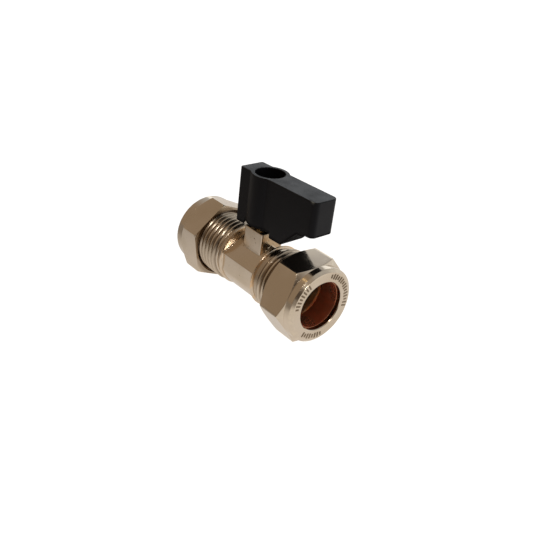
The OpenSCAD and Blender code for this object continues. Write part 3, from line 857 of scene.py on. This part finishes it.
def makeScrew():
    # pan head: a lathe path whose top sinks where the point lies inside either bar of a cross
    k = screwShape
    path = roundedPath([[0.001, k["shankLow"]], [k["shankR"] - 0.3, k["shankLow"]],
                        [k["shankR"], k["shankLow"] + 0.3], [k["shankR"], k["headLow"]],
                        [k["headR"], k["headLow"]], [k["headR"], k["headTop"] - 0.7],
                        [k["headR"] - 1.1, k["headTop"]], [0.001, k["headTop"] + 0.1]],
                       [0, 0.1, 0.1, 0, 0.1, 0.5, 0.9, 0], 5)
    path = refine(path, 0.12, close=False, hold=0.02)
    a = np.linspace(0, 2 * np.pi, 120, endpoint=False)
    gridR = np.repeat(path[:, :1], len(a), 1)
    gridZ = np.repeat(path[:, 1:], len(a), 1)
    gridA = np.repeat(a[None], len(path), 0)
    x, y = gridR * np.cos(gridA), gridR * np.sin(gridA)
    turn = math.radians(k["slotTurn"])
    u, v = x * math.cos(turn) + y * math.sin(turn), -x * math.sin(turn) + y * math.cos(turn)
    inside = np.zeros_like(x)
    for p, q in ((u, v), (v, u)):
        along = np.clip((k["slotL"] / 2 - np.abs(p)) / 0.12, 0, 1)
        across = np.clip((k["slotW"] / 2 - np.abs(q)) / 0.08, 0, 1)
        inside = np.maximum(inside, along * across)
    gridZ = gridZ - inside * k["slotDepth"] * (gridZ > k["headTop"] - 0.6)
    pts = np.stack([x, y, gridZ], -1)
    faces = gridFaces(pts.shape[0], pts.shape[1], False, True)
    return makePiece("handleScrew", pts, faces, "spindle", screwSteel, ("handle_screw",), 40)


makeScrew()

# the pieces kept from the frame, painted only
keptNodes = dict(ball=ballChrome, stem=machinedBrass, seat_retainer=machinedBrass, seat_front=seatWhite,
                 seat_rear=seatWhite, thrust_washer=seatWhite, stem_ring_lower=ringRubber,
                 stem_ring_upper=ringRubber, screw_washer=screwSteel)
for name, material in keptNodes.items():
    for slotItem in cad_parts[name].material_slots:
        slotItem.material = material
print("pieces done")

# floor, light and camera

studio = dict(floorZ=-13.85, floorHalf=3.0, floorToEye=0.96, floorTone=(0.42, 0.42, 0.42, 1),
              nearTone=(0.54, 0.52, 0.50, 1), farTone=(0.085, 0.07, 0.058, 1), nearAt=0.008, farAt=0.084,
              cardR=0.05, frontTone=(0.30, 0.235, 0.175, 1), rightTone=(0.07, 0.052, 0.04, 1),
              backTone=(0.74, 0.74, 0.74, 1), highTone=(0.40, 0.40, 0.40, 1), backFrom=0.05, backTo=0.60)


def makeFloor():
    # pale all over to the eye; the metal above sees it bright underneath and behind, and dim
    # and warm out to the front left, like a card that ends there
    me = bpy.data.meshes.new("floor")
    r, z = studio["floorHalf"], studio["floorZ"] * mm
    me.from_pydata([(-r, -r, z), (r, -r, z), (r, r, z), (-r, r, z)], [], [(0, 1, 2, 3)])
    ob = bpy.data.objects.new("floor", me)
    bpy.context.scene.collection.objects.link(ob)
    mat, t, bsdf, obj = startMaterial("floorPale")
    bsdf.inputs["Base Color"].default_value = studio["floorTone"]
    bsdf.inputs["Roughness"].default_value = 0.9
    bsdf.inputs["Specular IOR Level"].default_value = 0.1
    sep = node(t, "ShaderNodeSeparateXYZ", [(0, obj)])
    x, y = sep.outputs[0], sep.outputs[1]
    out = mathNode(t, "MULTIPLY_ADD", x, -0.5, mathNode(t, "MULTIPLY", y, -0.85))
    reach = mathNode(t, "SQRT", mathNode(t, "MULTIPLY_ADD", x, x, mathNode(t, "MULTIPLY", y, y)))
    behind = mathNode(t, "MULTIPLY", mathNode(t, "MAXIMUM", y, 0.0), -5.0)
    reach = mathNode(t, "ADD", mathNode(t, "SUBTRACT", reach, studio["cardR"]), behind)
    out = mathNode(t, "MAXIMUM", out, reach)
    card = mixColor(t, ramp(t, out, studio["nearAt"], studio["farAt"]), studio["nearTone"], studio["farTone"])
    path = t.nodes.new("ShaderNodeLightPath").outputs["Is Camera Ray"]
    eye = (studio["floorToEye"],) * 3 + (1,)
    t.links.new(mixColor(t, path, card, eye), bsdf.inputs["Emission Color"])
    bsdf.inputs["Emission Strength"].default_value = 1.0
    clear = t.nodes.new("ShaderNodeBsdfTransparent")
    below = t.nodes.new("ShaderNodeNewGeometry").outputs["Backfacing"]
    both = node(t, "ShaderNodeMixShader", [(0, below), (1, bsdf.outputs[0]), (2, clear.outputs[0])])
    t.links.new(both.outputs[0], t.nodes["Material Output"].inputs[0])
    me.materials.append(mat)


lampAim = (0, 0, 0.01)
# name, place and size in metres, power in watts, colour
lamps = (("backSoftbox", (-0.50, 0.56, 0.34), (0.5, 0.3), 0.32, (0.90, 0.95, 1)),
         ("rightStrip", (0.75, -0.14, 0.42), (0.07, 0.2), 0.4, (1, 0.98, 0.95)),
         ("leftStrip", (-0.50, -0.30, 0.80), (0.02, 0.25), 0.045, (1, 0.74, 0.38)))


def addLamp(name, place, aim, size, power, color):
    lamp = bpy.data.lights.new(name, "AREA")
    lamp.shape = "RECTANGLE"
    lamp.size, lamp.size_y = size
    lamp.energy = power
    lamp.color = color
    ob = bpy.data.objects.new(name, lamp)
    ob.location = place
    ob.rotation_euler = (Vector(aim) - Vector(place)).to_track_quat("-Z", "Y").to_euler()
    bpy.context.scene.collection.objects.link(ob)


def makeWorld():
    # dim and warm in front, darker low on the right, bright and neutral behind, dimmer high up
    w = bpy.data.worlds.new("studioWorld")
    bpy.context.scene.world = w
    w.use_nodes = True
    t = w.node_tree
    t.nodes.clear()
    out = t.nodes.new("ShaderNodeOutputWorld")
    bg = t.nodes.new("ShaderNodeBackground")
    t.links.new(bg.outputs[0], out.inputs[0])
    way = t.nodes.new("ShaderNodeTexCoord").outputs["Generated"]
    sep = node(t, "ShaderNodeSeparateXYZ", [(0, way)])
    side = mathNode(t, "MULTIPLY_ADD", sep.outputs[2], 0.3, sep.outputs[1])
    share = ramp(t, side, studio["backFrom"], studio["backTo"])
    low = ramp(t, sep.outputs[2], 0.15, 0.5, 1.0, 0.0)
    right = mathNode(t, "MULTIPLY", ramp(t, sep.outputs[0], 0.25, 0.7), low)
    front = mixColor(t, right, studio["frontTone"], studio["rightTone"])
    back = mixColor(t, ramp(t, sep.outputs[2], 0.12, 0.55), studio["backTone"], studio["highTone"])
    col = mixColor(t, share, front, back)
    path = t.nodes.new("ShaderNodeLightPath").outputs["Is Camera Ray"]
    t.links.new(mixColor(t, path, col, (studio["floorToEye"] + 0.06,) * 3 + (1,)), bg.inputs["Color"])


# view: turn round the stem, height angle and roll in degrees; distance and offsets in mm
view = dict(turn=48.11, height=27.83, roll=6.83, distance=209.36, offX=-2.0499438, offY=0.5662653,
            sensor=36.0, lens=44.6994371)


def makeCamera():
    # the crossing of stem and pipe stands offX and offY from the middle of the view, and the
    # camera is rolled about the way it looks
    az, el, roll = [math.radians(view[k]) for k in ("turn", "height", "roll")]
    right = np.array([math.cos(az), math.sin(az), 0])
    back = np.array([math.sin(az) * math.cos(el), -math.cos(az) * math.cos(el), math.sin(el)])
    up = np.array([-math.sin(az) * math.sin(el), math.cos(az) * math.sin(el), math.cos(el)])
    camRight = math.cos(roll) * right + math.sin(roll) * up
    camUp = -math.sin(roll) * right + math.cos(roll) * up
    aside = view["offX"] * camRight + view["offY"] * camUp
    place = (view["distance"] * back - aside + [stemX, 0, 0]) * mm
    cam = bpy.data.cameras.new("camera")
    cam.sensor_width = view["sensor"]
    cam.lens = view["lens"]
    cam.clip_start, cam.clip_end = 0.005, 20
    ob = bpy.data.objects.new("camera", cam)
    axes = np.stack([camRight, camUp, back, place], 1)
    ob.matrix_world = Matrix(axes.tolist() + [[0, 0, 0, 1]])
    bpy.context.scene.collection.objects.link(ob)
    bpy.context.scene.camera = ob


makeFloor()
makeWorld()
for lampName, place, size, power, color in lamps:
    addLamp(lampName, place, lampAim, size, power, color)
makeCamera()
bpy.context.scene.view_settings.view_transform = "Standard"
print("studio ready")
